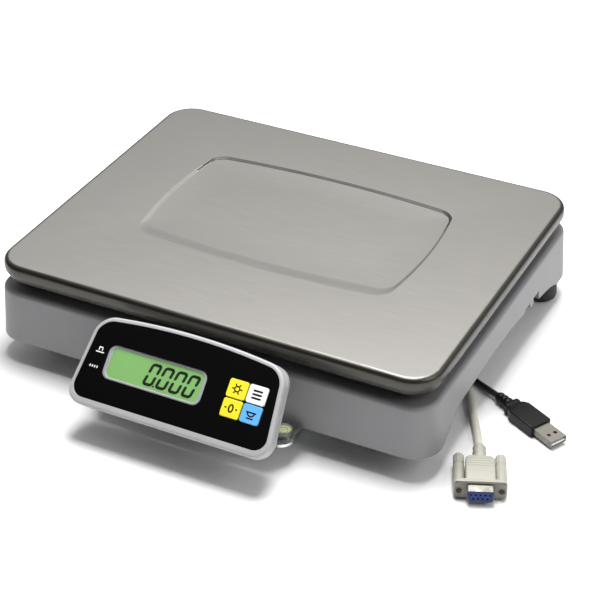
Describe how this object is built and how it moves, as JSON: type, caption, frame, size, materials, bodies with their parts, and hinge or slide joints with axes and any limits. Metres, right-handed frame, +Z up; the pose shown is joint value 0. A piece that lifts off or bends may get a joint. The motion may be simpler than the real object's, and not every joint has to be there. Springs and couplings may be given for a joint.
{
  "type": "checkout weighing scale",
  "caption": "Low counter scale with a stainless weighing pan on a light grey housing, a tilting front display with four keys, levelling feet, and serial and USB cords.",
  "frame": {"origin": "on the surface the feet stand on, under the middle of the scale's own box, its cords left out", "axes": "+X to the operator's right, +Y to the back, +Z up"},
  "size_m": [0.3616, 0.2947, 0.072],
  "materials": {
    "stainless": "fine satin stainless sheet",
    "housing_grey": "fine textured light grey moulded plastic",
    "zinc_steel": "zinc-plated sheet steel",
    "screw_steel": "bright zinc-plated fasteners",
    "black_rubber": "matt black rubber",
    "aluminium_alloy": "machined aluminium alloy",
    "cast_aluminium": "cast aluminium, tumbled",
    "circuit_board": "green solder mask",
    "component_black": "moulded electronic components",
    "component_white": "white connector plastic",
    "black_plastic": "black nylon",
    "display_grey": "light silver-grey moulded plastic",
    "overlay_black": "black printed polycarbonate film",
    "lcd_glass": "clear window",
    "lcd_body": "lit green liquid crystal panel",
    "key_yellow": "yellow key",
    "key_white": "white key",
    "key_blue": "light blue key",
    "bright_steel": "bright plated sheet steel",
    "level_plastic": "white level cup",
    "level_liquid": "yellow-green level fluid",
    "clear_lens": "clear lens",
    "cord_cream": "cream cable jacket",
    "hood_cream": "cream moulded plug",
    "plug_nickel": "nickel-plated shell",
    "insert_blue": "blue contact insert",
    "cord_black": "black cable jacket",
    "overmould_black": "black moulded plug"
  },
  "bodies": {
    "base": {"base_housing": "housing_grey", "chassis_plate": "zinc_steel", "housing_screws": "screw_steel", "foot_lock_nuts": "screw_steel", "load_cell": "aluminium_alloy", "cell_spacer_fixed": "aluminium_alloy", "fixed_end_bolts": "screw_steel", "overload_stops": "screw_steel", "main_board": "circuit_board", "board_standoffs": "screw_steel", "board_components": "component_black", "serial_gland": "black_plastic", "usb_gland": "black_plastic", "display_bracket": "bright_steel", "hinge_pin": "screw_steel", "bracket_bolts": "screw_steel", "level_cup": "level_plastic", "level_fluid": "level_liquid", "level_lens": "clear_lens", "display_lead": "cord_black", "display_lead_grommet": "black_rubber", "serial_cord_inner": "cord_cream", "serial_cord_coil": "cord_cream", "serial_cord_outer": "cord_cream", "serial_hood": "hood_cream", "serial_flange": "plug_nickel", "serial_insert": "insert_blue", "usb_cord_inner": "cord_black", "usb_cord_coil": "cord_black", "usb_cord_outer": "cord_black", "usb_overmould": "overmould_black", "usb_shell": "plug_nickel", "usb_tongue": "component_white"},
    "platform": {"cell_spacer_live": "aluminium_alloy", "live_end_bolts": "screw_steel", "pan_carrier": "cast_aluminium", "pan_studs": "black_rubber"},
    "pan_body": {"pan": "stainless"},
    "display": {"display_bezel": "display_grey", "display_rear_cover": "display_grey", "display_overlay": "overlay_black", "display_window": "lcd_glass", "lcd_module": "lcd_body", "display_board": "circuit_board", "display_screws": "screw_steel", "key_switches": "component_black"},
    "light_key": {"key_light": "key_yellow"},
    "function_key": {"key_function": "key_white"},
    "zero_key": {"key_zero": "key_yellow"},
    "tare_key": {"key_tare": "key_blue"},
    "levelling_foot_front_left": {"foot_front_left": "black_rubber", "foot_stud_front_left": "screw_steel"},
    "levelling_foot_front_right": {"foot_front_right": "black_rubber", "foot_stud_front_right": "screw_steel"},
    "levelling_foot_rear_left": {"foot_rear_left": "black_rubber", "foot_stud_rear_left": "screw_steel"},
    "levelling_foot_rear_right": {"foot_rear_right": "black_rubber", "foot_stud_rear_right": "screw_steel"},
    "thumbscrew_left_body": {"thumbscrew_left": "hood_cream"},
    "thumbscrew_right_body": {"thumbscrew_right": "hood_cream"}
  },
  "joints": [
    {"name": "load_deflection", "type": "slide", "parent": "base", "child": "platform", "axis": [0, 0, -1], "range_m": [0, 0.0008], "stiffness_N_per_m": 150000, "deforming": ["load_cell"]},
    {"name": "pan_lift", "type": "slide", "parent": "platform", "child": "pan_body", "axis": [0, 0, 1], "range_m": [0, 0.05]},
    {"name": "display_tilt", "type": "hinge", "parent": "base", "child": "display", "pos_m": [0, -0.1132, 0.0244], "axis": [1, 0, 0], "range_deg": [0, 35]},
    {"name": "light_press", "type": "slide", "parent": "display", "child": "light_key", "axis": [0, 0.7071, -0.7071], "range_m": [0, 0.0004], "stiffness_N_per_m": 1500},
    {"name": "function_press", "type": "slide", "parent": "display", "child": "function_key", "axis": [0, 0.7071, -0.7071], "range_m": [0, 0.0004], "stiffness_N_per_m": 1500},
    {"name": "zero_press", "type": "slide", "parent": "display", "child": "zero_key", "axis": [0, 0.7071, -0.7071], "range_m": [0, 0.0004], "stiffness_N_per_m": 1500},
    {"name": "tare_press", "type": "slide", "parent": "display", "child": "tare_key", "axis": [0, 0.7071, -0.7071], "range_m": [0, 0.0004], "stiffness_N_per_m": 1500},
    {"name": "foot_turn_front_left", "type": "hinge", "parent": "base", "child": "levelling_foot_front_left", "pos_m": [-0.124, -0.0602, 0], "axis": [0, 0, 1], "continuous": true},
    {"name": "foot_turn_front_right", "type": "hinge", "parent": "base", "child": "levelling_foot_front_right", "pos_m": [0.124, -0.0602, 0], "axis": [0, 0, 1], "continuous": true},
    {"name": "foot_turn_rear_left", "type": "hinge", "parent": "base", "child": "levelling_foot_rear_left", "pos_m": [-0.1385, 0.1283, 0], "axis": [0, 0, 1], "continuous": true},
    {"name": "foot_turn_rear_right", "type": "hinge", "parent": "base", "child": "levelling_foot_rear_right", "pos_m": [0.1385, 0.1283, 0], "axis": [0, 0, 1], "continuous": true},
    {"name": "thumbscrew_left_turn", "type": "hinge", "parent": "base", "child": "thumbscrew_left_body", "pos_m": [0.17812, -0.04876, 0.0065], "axis": [0.3875, -0.9219, 0], "continuous": true},
    {"name": "thumbscrew_right_turn", "type": "hinge", "parent": "base", "child": "thumbscrew_right_body", "pos_m": [0.15508, -0.05844, 0.0065], "axis": [0.3875, -0.9219, 0], "continuous": true}
  ]
}
